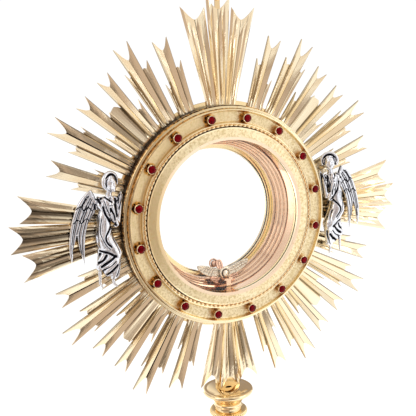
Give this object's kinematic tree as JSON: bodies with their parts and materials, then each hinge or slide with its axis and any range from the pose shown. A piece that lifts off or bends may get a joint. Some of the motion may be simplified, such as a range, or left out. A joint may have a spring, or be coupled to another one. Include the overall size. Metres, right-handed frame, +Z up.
{
  "type": "monstrance",
  "caption": "Standing altar monstrance with a round glazed case ringed by red stones, faceted sunburst rays, two angels, knopped stem and weighted round foot.",
  "frame": {"origin": "middle of the foot's underside, on the table", "axes": "+Z up the stem, the window faces -Y, +X to the right of a person facing it"},
  "size_m": [0.4196, 0.19, 0.714],
  "materials": {
    "polished_gold": "high polish, gold plated",
    "bright_gold": "polished, gold plated",
    "stippled_gold": "punched matte ground with polished edges, gold plated",
    "ray_gold": "faceted and polished, gold plated",
    "rose_gold": "polished, warm reflections",
    "antique_silver": "silver plated, darkened in the recesses",
    "red_stone": "faceted red stone",
    "clear_glass": "clear",
    "steel": "plain",
    "iron": "cast",
    "felt": "wool felt"
  },
  "bodies": {
    "stand": {"foot_shell": "polished_gold", "stem_lower": "polished_gold", "knop": "polished_gold", "stem_upper": "polished_gold", "capital": "polished_gold", "top_cross": "polished_gold", "hinge_leaf": "polished_gold", "case_drum": "polished_gold", "stem_lower_collar": "bright_gold", "stem_upper_collar": "bright_gold", "foot_bead_ring": "bright_gold", "bead_ring": "bright_gold", "stone_collets": "bright_gold", "front_glass_ring": "bright_gold", "ray_ring": "bright_gold", "head_tang": "bright_gold", "front_bezel": "stippled_gold", "rays_top": "ray_gold", "rays_right": "ray_gold", "rays_bottom": "ray_gold", "rays_left": "ray_gold", "rays_upper_right_a": "ray_gold", "rays_upper_right_b": "ray_gold", "rays_upper_right_c": "ray_gold", "rays_lower_right_a": "ray_gold", "rays_lower_right_b": "ray_gold", "rays_lower_right_c": "ray_gold", "rays_lower_left_a": "ray_gold", "rays_lower_left_b": "ray_gold", "rays_lower_left_c": "ray_gold", "rays_upper_left_a": "ray_gold", "rays_upper_left_b": "ray_gold", "rays_upper_left_c": "ray_gold", "tunnel_liner": "rose_gold", "luna_rail": "rose_gold", "angel_left": "antique_silver", "angel_right": "antique_silver", "stones": "red_stone", "front_glass": "clear_glass", "tie_rod": "steel", "tie_nut": "steel", "tang_screws": "steel", "ray_screws": "steel", "hinge_pin": "steel", "angel_nuts": "steel", "foot_weight": "iron", "foot_felt": "felt"},
    "door": {"rear_door": "polished_gold", "door_glass": "clear_glass", "door_glass_ring": "bright_gold"},
    "catch": {"catch_knob": "polished_gold"},
    "luna": {"luna_carriage": "polished_gold", "luna_front": "stippled_gold", "luna_cherub": "stippled_gold", "luna_pin": "steel"},
    "clip": {"luna_rear": "stippled_gold", "luna_rear_cherub": "stippled_gold"}
  },
  "joints": [
    {"name": "door_hinge", "type": "hinge", "parent": "stand", "child": "door", "pos_m": [0.091, 0.024, 0.468], "axis": [0, 0, -1], "range_deg": [0, 110]},
    {"name": "catch_pull", "type": "slide", "parent": "door", "child": "catch", "axis": [0, 1, 0], "range_m": [0, 0.002], "stiffness_N_per_m": 300},
    {"name": "luna_slide", "type": "slide", "parent": "stand", "child": "luna", "axis": [0, 1, 0], "range_m": [0, 0.003]},
    {"name": "clip_hinge", "type": "hinge", "parent": "luna", "child": "clip", "pos_m": [0, 0.0095, 0.4086], "axis": [1, 0, 0], "range_deg": [0, 20]}
  ]
}
